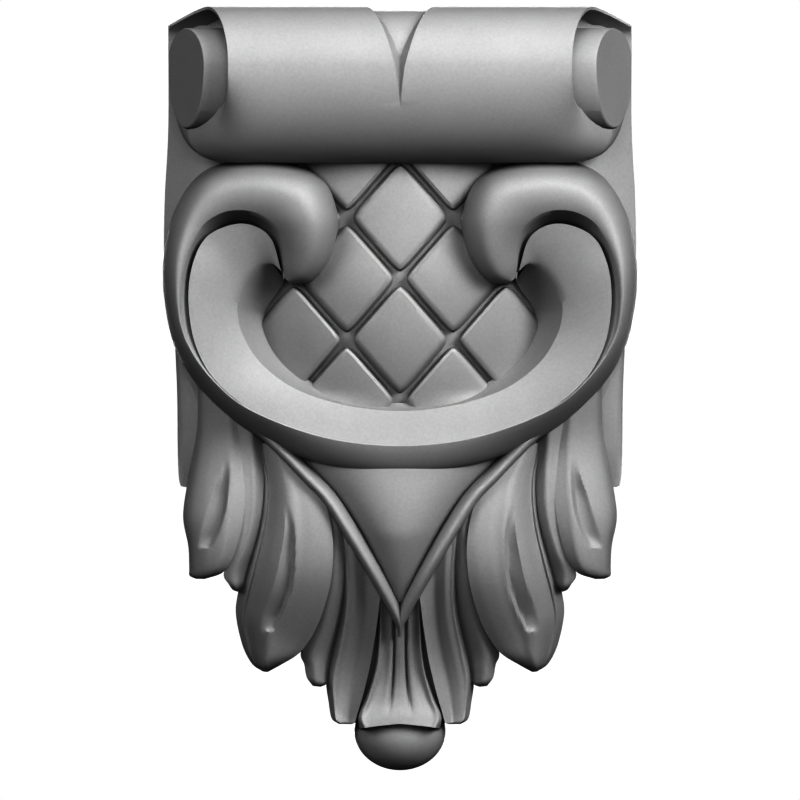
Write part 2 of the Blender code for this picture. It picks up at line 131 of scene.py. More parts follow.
# Notch in the middle of the roll
NOTCH_HALF_WIDTH = 14.9
NOTCH_DEPTH = 2.3
NOTCH_WALL = 1.4
NOTCH_GROWTH = 1.1
NOTCH_GROWTH_SPAN = 80.0
NOTCH_LEAST = 0.5
NOTCH_CURVE = 1.3
NOTCH_TIP_ANGLE = -25.7

# C-scroll: paired outlines as (x, z), from the inner bulb round to the centre line
TUBE_OUTER = [(45.4, 44.2), (36.5, 45.6), (28.5, 56.1), (26.0, 73.3), (34.4, 90.1), (60.0, 96.5),
              (81.8, 91.7), (94.4, 75.0), (99.2, 53.6), (98.1, 33.0), (93.1, 15.0), (80.5, -3.5),
              (62.5, -18.2), (33.6, -30.7), (0.0, -34.9)]
TUBE_INNER = [(48.2, 46.6), (48.6, 51.1), (49.3, 59.9), (51.6, 67.4), (57.9, 72.9), (65.8, 75.0),
              (74.7, 73.7), (83.0, 67.8), (89.3, 54.4), (91.4, 37.6), (88.9, 21.7), (78.8, 5.3),
              (62.1, -8.5), (31.5, -19.8), (0.0, -23.2)]
WALL_FOOT = [(48.9, 45.9), (49.4, 49.8), (51.5, 57.5), (55.0, 64.3), (60.2, 68.3), (66.3, 69.6),
             (73.5, 68.3), (80.3, 63.6), (86.4, 53.6), (88.5, 37.6), (86.2, 21.0), (76.9, 3.6),
             (60.9, -8.9), (31.5, -20.4), (0.0, -23.8)]
TUBE_HEIGHT = [2, 7.5, 13.5, 18.5, 21, 21.8, 21.8, 21.5, 21.5, 21.2, 20.6, 19.8, 17.6, 14.8, 13.4]
TUBE_EDGE = [0.5, 4, 9, 14, 17.2, 18.8, 19.2, 19.4, 19.2, 19, 19, 19, 17.2, 14.5, 13.2]
FOOT_HEIGHT = [1, 1, 1, 1, 1.5, 2.5, 4, 7, 11, 14.5, 16, 17, 15.8, 13.2, 12.2]
TUBE_CREST = [0.5, 0.5, 0.5, 0.5, 0.52, 0.56, 0.6, 0.64, 0.68, 0.74, 0.82, 0.9, 0.95, 0.97, 0.97]
TUBE_TILT = [0, 0, 0, 0, 0, 0, 0, 0, 0, 0.08, 0.16, 0.22, 0.26, 0.28, 0.28]
TUBE_FOOT = [8, 8, 8, 8, 8, 8, 8, 8, 8, 8, 8, 6, 3, -1.5, -3.5]
TUBE_THICKNESS = 95.0
WALL_STEPS = (0.33, 0.67, 1.0)
FACE_RIM = [(49.5, 49.4), (54.5, 64.1), (65.8, 69.5), (79.7, 64.9), (86.4, 53.6), (88.5, 37.6),
            (85.6, 18.8), (76.3, 2.8), (57.9, -11.0), (31.5, -20.4), (0.0, -23.8)]
FACE_CREASE = [(53.3, 52.7), (57.9, 51.9), (62.1, 48.5), (65.4, 43.9), (67.5, 38.1), (67.9, 31.4),
               (65.4, 22.1), (57.9, 10.8), (43.6, 0.3), (23.1, -6.4), (0.0, -8.9)]
FACE_LIP = [(48.2, 45.6), (49.5, 43.5), (51.2, 41.0), (53.3, 38.1), (55.4, 34.7), (56.6, 30.5),
            (54.5, 22.5), (48.7, 13.3), (37.7, 3.7), (21.0, -4.7), (0.0, -5.6)]
RIM_HEIGHT = [3, 10, 13, 15, 17, 18, 18.5, 18.5, 16.5, 14, 12.6]
CREASE_HEIGHT = [3, 3, 3.5, 4, 4.5, 4.8, 5, 5.2, 5.6, 6, 6.2]
LIP_HEIGHT = -2.4
COVE_DEPTH = 1.6
FACE_BULGE = 0.6
FACE_THICKNESS = 20.0

# Lattice of diamond pads
PAD_STEP_X = 22.2
PAD_STEP_Z = 25.46
PAD_TOP_Z = 97.4
PAD_GRID_COLUMNS = 4
PAD_GRID_ROWS = 5
PAD_VERTICES = 27
PAD_INSET = 0.018
PAD_CORNER = 0.15
PAD_CORNER_POWER = 8.0
PAD_RISE = 1.6
PAD_BOW = 0.9
PAD_SINK = 9.0
PAD_PILLOW = 6.0
PAD_EDGE = 0.16
PAD_LOW_Z = -8.0
PAD_HIGH_Z = 98.0
PAD_REACH = 62.0

# V moulding and the panel inside it
V_OUTER = [(62.9, -16.0), (51.6, -26.9), (40.7, -38.3), (32.7, -46.7), (24.7, -59.2), (13.8, -77.3),
           (1.7, -99.1), (0.0, -103.7)]
V_INNER = [(51.2, -18.2), (44.4, -25.4), (37.2, -32.6), (27.4, -42.7), (19.4, -54.3), (8.5, -72.8),
           (1.7, -86.0), (0.0, -89.2)]
V_HEIGHT = 6.0
V_OUTER_EDGE = 0.4
V_INNER_EDGE = -5.5
V_THICKNESS = 10.0
PANEL_LAP = 1.5
PANEL_LEAST = 1.0
PANEL_RISE = 7.5
PANEL_CROWN = 17.5
PANEL_ROUND = 1.02
PANEL_NARROW = 17.0

# Leaf lobes: paired outlines from the root to the tip, and the heights across them at stations along them.
# Each curls out towards its tip, which then turns down: "tip" is the share where that starts, and the drop.
LOBES = {
    "outer": dict(
        outer=[(84.7, 4.1), (85.1, -16.5), (89.3, -39.5), (91.0, -53.4), (88.9, -65.5), (88.5, -74.3),
               (88.4, -77.9), (86.0, -79.3)],
        inner=[(68.8, -4.3), (65.8, -22.3), (64.6, -40.8), (65.8, -54.6), (68.3, -65.4), (71.0, -72.4),
               (74.8, -76.9), (82.0, -79.4)],
        shares=(0, 0.05, 0.13, 0.3, 0.48, 0.72, 0.86, 1),
        stations=[(0, (-5, -2.5, -0.5, 0.8, 1.5, 2, 1.2, 0)),
                  (0.45, (-6, -1.5, 1.6, 3.8, 4.8, 5.4, 3.8, 1.8)),
                  (0.75, (-6, -1.5, 1.4, 3.6, 4.7, 5, 3.6, 1.6)),
                  (1, (-6.5, -2.4, 0.6, 2.6, 3.4, 3.6, 2.6, 0.8))],
        tip=(0.66, 7.0), curl=2.5, thickness=17),
    "outer_small": dict(
        outer=[(70.5, -4.3), (67.1, -22.3), (65.4, -40.8), (66.3, -54.6), (69.2, -66.4), (73.9, -76.9),
               (71.7, -81.8), (70.2, -84.0)],
        inner=[(57.6, -4.3), (55.9, -25.3), (55.5, -46.2), (56.7, -56.3), (60.1, -68.0), (63.0, -75.5),
               (65.5, -82.0), (68.2, -84.8)],
        shares=(0, 0.25, 0.42, 0.55, 0.75, 1),
        stations=[(0, (1.6, 1.4, 1.2, 0.4, -2.5, -6)),
                  (0.5, (1.4, 1.0, 0.8, -0.4, -3.5, -6.5)),
                  (0.85, (0.4, 0.8, 0.6, -0.2, -2.8, -5.5)),
                  (1, (-1.5, -0.5, 0, -0.6, -2, -4))],
        tip=(0.82, 4.5), curl=2.0, thickness=15),
    "middle": dict(
        outer=[(60.4, -21.1), (58.6, -37.9), (60.4, -54.6), (64.6, -71.4), (68.0, -85.2), (68.9, -94.5),
               (66.3, -107.1), (62.4, -115.0), (57.9, -118.4)],
        inner=[(46.0, -27.0), (33.5, -42.0), (28.3, -61.0), (28.9, -79.8), (33.6, -96.6), (39.2, -107.0),
               (43.6, -111.6), (50.2, -115.6), (55.6, -118.6)],
        shares=(0, 0.05, 0.09, 0.115, 0.14, 0.2, 0.28, 0.4, 0.5, 0.62, 0.74, 0.88, 1),
        stations=[(0, (-7, -5.5, -4, -3.8, -4.2, -2.8, -1.5, -0.2, 0.4, 0.4, 0.2, 0, -0.2)),
                  (0.35, (-7, -5.2, -2.6, -2.3, -2.9, -0.8, 2.2, 5.2, 5.8, 4.9, 4.7, 3.9, 2.4)),
                  (0.62, (-7.5, -5.2, -3.2, -2.8, -2.8, -0.6, 2.4, 5.5, 6.2, 5, 4.6, 3.6, 1.8)),
                  (0.84, (-7.5, -5, -3, -2.4, -2, -0.2, 2.6, 5.2, 5.8, 5, 4, 2.8, 1.2)),
                  (1, (-6.5, -3.5, -2, -1, -0.5, 0.5, 2, 3.2, 3.6, 3.2, 1.8, 0, -1))],
        tip=(0.76, 8.0), curl=6.0, thickness=16),
    "middle_small": dict(
        outer=[(37.0, -36.5), (31.0, -54.6), (31.9, -77.7), (36.9, -96.6), (41.6, -110.0), (40.2, -115.4),
               (39.2, -120.8), (36.6, -124.5)],
        inner=[(21.5, -53.5), (20.0, -67.0), (21.1, -84.0), (24.0, -100.0), (27.4, -112.0), (29.4, -119.6),
               (30.6, -123.4), (33.4, -124.9)],
        shares=(0, 0.25, 0.42, 0.6, 0.8, 1),
        stations=[(0, (-1, 0, -0.2, -1.2, -2.5, -4)),
                  (0.4, (-1, 0.6, 0.9, -0.6, -3.5, -6.5)),
                  (0.7, (-1, 0.6, 1.0, -0.2, -3.2, -6)),
                  (1, (-1, -0.5, 0, -0.5, -2, -4))],
        tip=(0.84, 5.0), curl=3.0, thickness=14),
    "inner": dict(
        outer=[(27.0, -55.0), (25.2, -71.4), (25.2, -90.3), (28.4, -107.5), (31.0, -121.0), (29.9, -132.0),
               (28.7, -138.2), (25.8, -140.5)],
        inner=[(7.5, -81.0), (8.8, -92.0), (10.3, -103.0), (12.4, -115.4), (15.0, -126.4), (17.6, -135.4),
               (18.8, -139.6), (20.6, -140.6)],
        shares=(0, 0.09, 0.16, 0.2, 0.25, 0.38, 0.52, 0.68, 0.86, 1),
        stations=[(0, (-6, -3.6, -1.4, -1.0, -1.2, -0.8, -1.6, -2.2, -0.6, 1.4)),
                  (0.4, (-6, -3.4, -0.8, -0.4, -0.7, -0.5, -1.4, -2.4, -0.8, 1.6)),
                  (0.75, (-5.5, -2.8, -0.4, 0, -0.2, -0.8, -1.6, -2.2, 0, 1.8)),
                  (0.9, (-4, -1.2, 1.0, 1.4, 1.2, 0, -1.2, -1.6, 0, 1.4)),
                  (1, (-3, 0, 1.6, 1.8, 1.4, 0.4, -0.4, -0.8, -0.4, 0))],
        tip=(0.86, 4.5), curl=3.0, thickness=14),
}
LOBE_ROWS = 76
LOBE_COLUMNS = 46
LOBE_CROWDING = 1.3
LOBE_RELIEF = 1.15
STATION_STEPS = 120
ACROSS_STEPS = 40

# Teardrop hollows cut in the two large lobes: the steep wall as (x, z) and the width on its outer side
HOLLOWS = {
    "outer": dict(
        wall=[(73.0, -29.0), (73.0, -36.2), (73.8, -44.1), (74.7, -50.9), (77.2, -58.8), (80.9, -66.2)],
        width=[0.6, 2.4, 4.6, 5.8, 6.0, 4.6], depth=3.4),
    "middle": dict(
        wall=[(49.0, -47.0), (46.4, -54.2), (45.5, -65.1), (46.4, -81.1), (49.9, -91.5), (54.3, -101.2)],
        width=[0.6, 1.8, 3.8, 6.4, 6.8, 5.0], depth=3.8),
}
HOLLOW_STEPS = 80
HOLLOW_WALL = 1.8
HOLLOW_START = 0.4
HOLLOW_END = 0.12

# Leaf in the middle, with a midrib, and a lip that curls out over the ball
CENTRE_LEAF = [(8.6, -80.0), (8.9, -92.0), (9.3, -104.0), (10.8, -117.0), (14.6, -129.0), (18.2, -137.2),
               (16.8, -142.6)]
CENTRE_SHARES = (0, 0.05, 0.12, 0.2, 0.28, 0.33, 0.37, 0.41, 0.5)
CENTRE_STATIONS = [(0, (-1.6, 0, -1.0, -1.2, -0.8, -1.2, -2.6, -1.2, -0.8)),
                   (0.25, (-1.2, 1.2, -0.4, -0.6, 0, -0.4, -2.6, -0.2, 0.4)),
                   (0.5, (-1.2, 1.8, 0.2, 0, 0.8, 0.4, -1.8, 0.4, 1.0)),
                   (0.64, (-0.6, 3.0, 1.6, 1.8, 2.4, 2.2, 0.8, 2.2, 2.6)),
                   (0.76, (0, 5.0, 4.0, 4.2, 4.6, 4.5, 4.0, 4.6, 4.8)),
                   (0.87, (0.4, 7.6, 7.2, 7.4, 7.6, 7.7, 7.7, 7.8, 7.8)),
                   (0.94, (0.6, 9.4, 9.2, 9.6, 9.9, 10.0, 10.0, 10.1, 10.1)),
                   (1, (0.4, 10.4, 10.8, 11.4, 11.8, 12.0, 12.0, 12.1, 12.1))]
CENTRE_ROOT_DROP = 18.0
CENTRE_THICKNESS = 12.0
LIP_ARCH = 2.2
LIP_ARCH_ALONG = 6
LIP_ARCH_ACROSS = 0.7

# Leaves on the side faces, as paired outlines (depth, z)
SIDE_LEAVES = [
    dict(front=[(53, 23), (52, 2), (48, -22), (41, -41)],
         rear=[(27, 23), (25, 2), (28, -22), (38, -40)]),
    dict(front=[(27, 23), (28, 2), (28, -20), (21, -37)],
         rear=[(5, 23), (5, 2), (9, -20), (18, -36)]),
]
SIDE_LEAF_ACROSS = [(0, -1), (0.07, 0.45), (0.14, 0), (0.25, 0.8), (0.34, 0.3), (0.5, 1), (0.64, 0.6),
                    (0.8, 0.8), (1, -0.8)]
SIDE_LEAF_REACH = [(-50, 88.0), (-43, 91.0), (-38, 92.7), (-30, 93.2), (-20, 93.4), (0, 93.6), (30, 95.0)]
REACH_STEPS = 60
SIDE_LEAF_LEAST = 0.1
SIDE_LEAF_ROOT = 8.0

# Ball at the foot
BALL_RADIUS = 19.1
BALL_HEIGHT = 16.4
BALL_DEPTH = 8.8
BALL_Z = -TOP_Z + BALL_HEIGHT

# Stone: a grey tone with a soft cloud, and a fine grain that also roughens the surface a little
STONE_TONE = 0.24
STONE_ROUGHNESS = 0.62
STONE_SPECULAR = 0.35
CLOUD_SCALE = 38.0
CLOUD_TONE = 0.03
GRAIN_SCALE = 900.0
GRAIN_TONE = 0.05
GRAIN_STRENGTH = 0.25
GRAIN_HEIGHT = 0.0001
SHARP_FROM = math.radians(35.0)

# Photograph: long lens straight in front; metres, with the sensor in millimetres
VIEW_WIDTH = 0.3355
VIEW_CENTRE_Z = -0.0043
VIEW_DEPTH = 0.055
CAMERA_DISTANCE = 12.0
SENSOR = 36.0
VIEW_GAMMA = 0.46

# Lamps as (name, azimuth, elevation, watts); azimuth 0 is the viewer's side and + is to the right
LAMPS = [("key_right", 42.0, 22.0, 7.8), ("fill_left", -42.0, 22.0, 3.4), ("front", 0.0, 8.0, 2.5),
         ("top", 0.0, 68.0, 2.7), ("behind", 180.0, 5.0, 6.0)]
LAMP_SIZE = 1.0
LAMP_DISTANCE = 2.0
LAMP_SPREAD = math.radians(45.0)
SURROUND_LIGHT = 0.02

# Floor: its reach and height in metres, its tone and its glow in the picture
FLOOR_REACH = 1.5
FLOOR_Z = -1.3
FLOOR_TONE = 0.8
FLOOR_ROUGHNESS = 0.9
FLOOR_GLOW = 0.6


def curve(points, count):
    """Smooth curve through the points; the points lie at even steps of its parameter."""
    p = np.array(points, float)
    p = np.vstack([2 * p[0] - p[1], p, 2 * p[-1] - p[-2]])
    u = np.linspace(0.0, len(points) - 1.0, count)
    i = np.minimum(u.astype(int), len(points) - 2)
    f = (u - i)[:, None]
    a, b, c, d = p[i], p[i + 1], p[i + 2], p[i + 3]
    square = (2 * a - 5 * b + 4 * c - d) * f ** 2
    cube = (3 * b - a - 3 * c + d) * f ** 3
    return 0.5 * (2 * b + (c - a) * f + square + cube)


def values(numbers, count):
    """The same smooth reading for a plain list of numbers."""
    return curve([(n, 0.0) for n in numbers], count)[:, 0]


def reading(knots, at):
    """Smooth height read from (place, height) pairs."""
    table = curve(knots, ACROSS_STEPS * len(knots))
    return np.interp(at, table[:, 0], table[:, 1])


def blend(first, second, share):
    """Mix of two values, by the share of the second."""
    return first * (1 - share) + second * share


def round_shares(count):
    """Shares from 0 to 1 that lie closer together at both ends."""
    return 0.5 - 0.5 * np.cos(np.linspace(0, math.pi, count))


def smoothed(table, reach):
    """The same table with its depths averaged over a length."""
    steps = np.linspace(-0.5, 0.5, EASE_STEPS) * reach
    depths = [np.interp(table[:, 0] + step, table[:, 0], table[:, 1]) for step in steps]
    return np.stack([table[:, 0], np.mean(depths, axis=0)], axis=1)


FACE_TABLE = smoothed(curve(FACE_PROFILE, FACE_STEPS), FACE_EASE)


def face_depth(x, z):
    """Depth of the carved face without its relief."""
    centre = np.interp(z, FACE_TABLE[:, 0], FACE_TABLE[:, 1])
    return centre - SIDE_FALL * (np.abs(x) / SIDE_FALL_AT) ** 2


def smooth_step(value):
    """Soft step from 0 to 1."""
    value = np.clip(value, 0.0, 1.0)
    return value * value * (3 - 2 * value)


def field_fall(x, z):
    """Extra fall of the lattice to each side, so that it bulges between the arms of the scroll."""
    across = np.minimum(np.abs(x), HOLLOWED_TO)
    inside = 1 - smooth_step((np.abs(x) - HOLLOWED_TO) / HOLLOWED_FADE)
    above = smooth_step((z - LEAF_TOP_Z) / FIELD_FADE)
    return HOLLOWED * (across / HOLLOWED_AT) ** 2 * inside * above


def mesh_object(name, points, faces):
    """Closed object from points (x, depth, z) in millimetres."""
    mesh = bpy.data.meshes.new(name)
    mesh.from_pydata([(x * MM, -depth * MM, z * MM) for x, depth, z in points], [], faces)
    builder = bmesh.new()
    builder.from_mesh(mesh)
    bmesh.ops.recalc_face_normals(builder, faces=builder.faces)
    builder.to_mesh(mesh)
    builder.free()
    item = bpy.data.objects.new(name, mesh)
    bpy.context.scene.collection.objects.link(item)
    return item


def slab(name, front, back):
    """Closed solid between a front grid and a back grid of points."""
    rows, columns = front.shape[:2]
    layer = rows * columns
    faces = []
    for r in range(rows - 1):
        for c in range(columns - 1):
            a = r * columns + c
            quad = (a, a + 1, a + columns + 1, a + columns)
            faces.append(quad)
            faces.append(tuple(layer + v for v in reversed(quad)))
    edge = [(0, c) for c in range(columns - 1)] + [(r, columns - 1) for r in range(rows - 1)]
    edge += [(rows - 1, c) for c in range(columns - 1, 0, -1)] + [(r, 0) for r in range(rows - 1, 0, -1)]
    ring = [r * columns + c for r, c in edge]
    for a, b in zip(ring, ring[1:] + ring[:1]):
        faces.append((a, a + layer, b + layer, b))
    return mesh_object(name, np.vstack([front.reshape(-1, 3), back.reshape(-1, 3)]), faces)


def raised(name, x, z, heights, thickness, side=1):
    """Closed solid over a grid of places, standing by its heights above the carved face."""
    base = face_depth(x, z)
    front = np.stack([side * x, base + heights, z], axis=2)
    back = np.stack([side * x, np.maximum(base - thickness, BACK_GAP), z], axis=2)
    return slab(name, front, back)


def strip(name, left, right, heights, shares, thickness, side=1):
    """Carved strip between two outlines, with its heights above the face."""
    s = np.array(shares)[None, :]
    x = blend(left[:, :1], right[:, :1], s)
    z = blend(left[:, 1:], right[:, 1:], s)
    return raised(name, x, z, heights, thickness, side)


def ribbon(name, lines, levels, thickness):
    """Carved band over several outlines side by side, each with its heights above the face."""
    drawn = np.stack(lines, axis=1)
    x = np.clip(drawn[:, :, 0], LOW.x / MM, HIGH.x / MM)
    return raised(name, x, drawn[:, :, 1], np.stack(levels, axis=1), thickness)


def both_halves(half):
    """Outline of the left half carried on over the centre line to the right, with a corner there."""
    mirrored_half = half[-2::-1] * np.array([-1.0, 1.0])
    return np.vstack([half, mirrored_half])


def whole_curve(points, count):
    """Smooth outline over both halves, from the left half's points; each half has the count of points."""
    return curve(points + [(-x, z) for x, z in points[-2::-1]], 2 * count - 1)


def whole_values(numbers, count):
    """The left half's numbers read smoothly over both halves."""
    return values(numbers + numbers[-2::-1], 2 * count - 1)


def body(rows=90, columns=14):
    """Block behind the carving, with a flat back and rounded front corners."""
    half = 1 - np.linspace(1, 0, columns) ** BODY_CROWDING
    shares = np.concatenate([-half[:0:-1], half])
    profile = curve(BODY_PROFILE, rows)
    z = profile[:, :1]
    x = profile[:, 1:] * shares[None, :]
    sink = FIELD_SINK + (LEAF_SINK - FIELD_SINK) * (z < LEAF_TOP_Z)
    corner = BODY_CORNER * np.abs(shares[None, :]) ** BODY_CORNER_POWER
    depth = face_depth(x, z) - sink - corner - field_fall(x, z)
    front = np.stack([x, np.maximum(depth, BODY_THIN), z + 0 * x], axis=2)
    back = np.stack([x, 0 * x, z + 0 * x], axis=2)
    return slab("body", front, back)


def ring_angles(count):
    """Even angles round the roll, in degrees: 0 is to the front and 90 is up."""
    return np.arange(count) * 360.0 / count - 180.0


def eye_end(angle):
    """Distance of the eye's slanted end from the centre."""
    reach = 1 - math.cos(math.radians(angle))
    end = EYE_FRONT_X + EYE_SCALE * ROLL_REACH * reach * math.tan(EYE_TILT)
    return min(end, HALF_WIDTH - EYE_SIDE_GAP)


def rim(angle):
    """Rim of the outer wrap at an angle: its distance from the centre, scale and how far it tucks in."""
    slant = RIM_FRONT_X + RIM_SLANT * (1 - math.cos(math.radians(angle)))
    flare = RIM_FLARE * max(angle - 90, 0) ** 2
    wound = min(max((WINDING_START - angle) / WINDING_SPAN, 0.0), 1.0) ** 2
    wrap_out = WRAP_OUT * smooth_step((WRAP_OUT_START - angle) / WRAP_OUT_SPAN)
    edge = slant + flare + wound * (eye_end(angle) + RIM_PAST_EYE + wrap_out - slant)
    wound_in = smooth_step((TUCK_UNDER - angle) / TUCK_UNDER_SPAN)
    inside = max(wound_in, smooth_step((angle - TUCK_START) / TUCK_SPAN))
    edge_scale = 1 - inside * (1 - EYE_SCALE - TUCK_CLEARANCE)
    return min(edge, HALF_WIDTH - RIM_SIDE_GAP), edge_scale, inside


def roll_point(x, angle, scale):
    """Point of the egg-shaped roll at an angle, shrunk towards its axis."""
    a = math.radians(angle)
    rise = ROLL_UP if a > 0 else ROLL_DOWN
    return (x, ROLL_DEPTH + scale * ROLL_REACH * math.cos(a), ROLL_Z + scale * rise * math.sin(a))


def roll_scale(x, edge, edge_scale):
    """Rounding of the wrap down to its rim."""
    share = min(max((x - edge + ROLL_ROUND) / ROLL_ROUND, 0.0), 1.0)
    return edge_scale + (1 - edge_scale) * (1 - share ** ROLL_POWER) ** (1 / ROLL_POWER)


def roll_half(angle, shares):
    """Points along one half of the roll at an angle, from the centre out and in again to its axis."""
    reach = max((angle - NOTCH_TIP_ANGLE) / (90 - NOTCH_TIP_ANGLE), 0.0)
    notch = NOTCH_HALF_WIDTH * reach ** NOTCH_CURVE
    deeper = 1 + NOTCH_GROWTH * smooth_step((90 - angle) / NOTCH_GROWTH_SPAN)
    wall = NOTCH_WALL * deeper
    cut = NOTCH_DEPTH * deeper * min(notch / wall, 1.0)
    notch = max(notch, NOTCH_LEAST)
    low = 1 - cut / ROLL_REACH
    edge, edge_scale, inside = rim(angle)
    floor_x = min(edge - CAVITY_LEAST - CAVITY * (1 - inside), eye_end(angle) - CAVITY_LEAST)
    inner_scale = max(edge_scale - WRAP_WALL, EYE_SCALE + WRAP_CLEARANCE)
    row = [roll_point(0.0, angle, low), roll_point(max(notch - wall, NOTCH_LEAST / 2), angle, low)]
    for share in shares:
        x = notch + (edge - notch) * share
        row.append(roll_point(x, angle, roll_scale(x, edge, edge_scale)))
    row.append(roll_point(edge, angle, inner_scale))
    row.append(roll_point(floor_x, angle, inner_scale))
    row.append(roll_point(floor_x, angle, EYE_SCALE + FLOOR_CLEARANCE))
    row.append(roll_point(floor_x, angle, EYE_SCALE - EYE_LAP))
    return row


def roll(rows=168, steps=18):
    """The wrap of the roll as one closed shell."""
    shares = 1 - np.linspace(1, 0, steps) ** ROLL_CROWDING
    points = []
    for angle in ring_angles(rows):
        half = roll_half(angle, shares)
        points += [(-x, d, z) for x, d, z in half[:0:-1]] + half
    columns = len(points) // rows
    faces = []
    for r in range(rows):
        n = (r + 1) % rows
        for c in range(columns - 1):
            faces.append((r * columns + c, r * columns + c + 1, n * columns + c + 1, n * columns + c))
    for column in (0, columns - 1):
        faces.append([r * columns + column for r in range(rows)])
    return mesh_object("roll", points, faces)


def roll_eye(side, rows=120):
    """Inner winding that stands out of the roll's end, cut on a slant with a small bevel."""
    rings = ((EYE_ROOT_X, 1.0, 0.0), (None, 1.0, EYE_BEVEL), (None, 1 - EYE_BEVEL / ROLL_REACH, 0.0))
    points = []
    for angle in ring_angles(rows):
        for x, scale, short in rings:
            place = eye_end(angle) - short if x is None else x
            points.append(roll_point(side * place, angle, EYE_SCALE * scale))
    faces = []
    for r in range(rows):
        a = 3 * r
        b = 3 * ((r + 1) % rows)
        faces.append((a, a + 1, b + 1, b))
        faces.append((a + 1, a + 2, b + 2, b + 1))
    faces.append(range(0, 3 * rows, 3))
    faces.append(range(2, 3 * rows, 3))
    return mesh_object("roll_eye", points, faces)


def scroll_tube(rows=130, columns=26):
    """Outer round member of the C-scroll, down to its broad face inside and back to the wall outside."""
    outer = whole_curve(TUBE_OUTER, rows)
    inner = whole_curve(TUBE_INNER, rows)
    foot = whole_curve(WALL_FOOT, rows)
    crest_height = whole_values(TUBE_HEIGHT, rows)
    edge_height = whole_values(TUBE_EDGE, rows)
    foot_height = whole_values(FOOT_HEIGHT, rows)
    crest = whole_values(TUBE_CREST, rows)
    tilt = whole_values(TUBE_TILT, rows)
    under = whole_values(TUBE_FOOT, rows)
    lines = []
    levels = []
    for s in round_shares(columns):
        below = np.clip((crest - s) / crest, 0, 1)
        beyond = np.clip((s - crest) / (1 - crest), 0, 1)
        round_part = (crest_height + under) * np.sqrt(1 - below ** 2) * (1 - tilt * below) - under
        lines.append(blend(outer, inner, s))
        levels.append(round_part - (crest_height - edge_height) * beyond ** 2)
    for f in WALL_STEPS:
        lines.append(blend(inner, foot, f))
        levels.append(blend(edge_height, foot_height, f))
    return ribbon("scroll_tube", lines, levels, TUBE_THICKNESS)


def scroll_face(rows=100, columns=9):
    """Broad inner face of the C-scroll with the cove down to the lattice."""
    edge = whole_curve(FACE_RIM, rows)
    crease = whole_curve(FACE_CREASE, rows)
    lip = whole_curve(FACE_LIP, rows)
    lip_height = LIP_HEIGHT - field_fall(lip[:, 0], lip[:, 1])
    edge_height = whole_values(RIM_HEIGHT, rows)
    crease_height = whole_values(CREASE_HEIGHT, rows)
    lines = []
    levels = []
    for f in np.linspace(0, 1, columns):
        lines.append(blend(edge, crease, f))
        levels.append(blend(edge_height, crease_height, f) + 4 * FACE_BULGE * f * (1 - f))
    for f in np.linspace(0, 1, columns)[1:]:
        lines.append(blend(crease, lip, f))
        levels.append(blend(crease_height, lip_height, f) - 4 * COVE_DEPTH * f * (1 - f))
    return ribbon("scroll_face", lines, levels, FACE_THICKNESS)


def v_moulding(rows=90, columns=18):
    """Half-round moulding running down to a mitred point."""
    shares = round_shares(columns)
    outer = both_halves(curve(V_OUTER, rows))
    inner = both_halves(curve(V_INNER, rows))
    edges = blend(V_OUTER_EDGE, V_INNER_EDGE, shares)
    rise = V_HEIGHT - 0.5 * (V_OUTER_EDGE + V_INNER_EDGE)
    heights = edges + rise * np.sqrt(1 - (1 - 2 * shares) ** 2)
    return strip("v_moulding", outer, inner, heights, shares, V_THICKNESS)


def v_panel(rows=60, columns=41):
    """Smooth panel inside the V, crowned from side to side."""
    outline = curve(V_INNER, rows)
    outline[:, 0] = np.maximum(outline[:, 0] + PANEL_LAP, PANEL_LEAST)
    other = outline * np.array([-1.0, 1.0])
    shares = round_shares(columns)
    across = np.abs(2 * shares - 1)[None, :]
    narrow = np.minimum(outline[:, :1] / PANEL_NARROW, 1)
    heights = PANEL_RISE * narrow - PANEL_CROWN * narrow * (1 - np.sqrt(PANEL_ROUND - across ** 2))
    return strip("v_panel", outline, other, heights, shares, V_THICKNESS)


def relief(shares_drawn, stations, s, t):
    """Heights over a lobe, read smoothly across it at each station and then along it."""
    sections = [[place, *reading(list(zip(shares_drawn, heights)), s)] for place, heights in stations]
    table = curve(sections, STATION_STEPS)
    return np.stack([np.interp(t, table[:, 0], column) for column in table[:, 1:].T], axis=1)


def tip_fall(t, start, drop):
    """Quarter round by which a lobe turns down at its tip."""
    beyond = np.clip((t - start) / (1 - start), 0, 1)
    return drop * (1 - np.sqrt(1 - beyond ** 2))


def hollow(x, z, wall, width, depth):
    """Teardrop hollow: a steep wall on the inner side, rising gently on the outer side."""
    route = curve(wall, HOLLOW_STEPS)
    widths = values(width, HOLLOW_STEPS)
    q = np.clip((z - route[0, 1]) / (route[-1, 1] - route[0, 1]), 0, 1)
    across = x - np.interp(-z, -route[:, 1], route[:, 0])
    wide = np.interp(-z, -route[:, 1], widths)
    outer_side = 1 - np.clip(across / wide, 0, 1) ** 2
    inner_side = smooth_step(1 + across / HOLLOW_WALL)
    end = np.sqrt(np.clip((1 - q) / HOLLOW_END, 0, 1))
    start = smooth_step(q / HOLLOW_START)
    return -depth * start * end * np.where(across > 0, outer_side, inner_side) * (q > 0) * (q < 1)


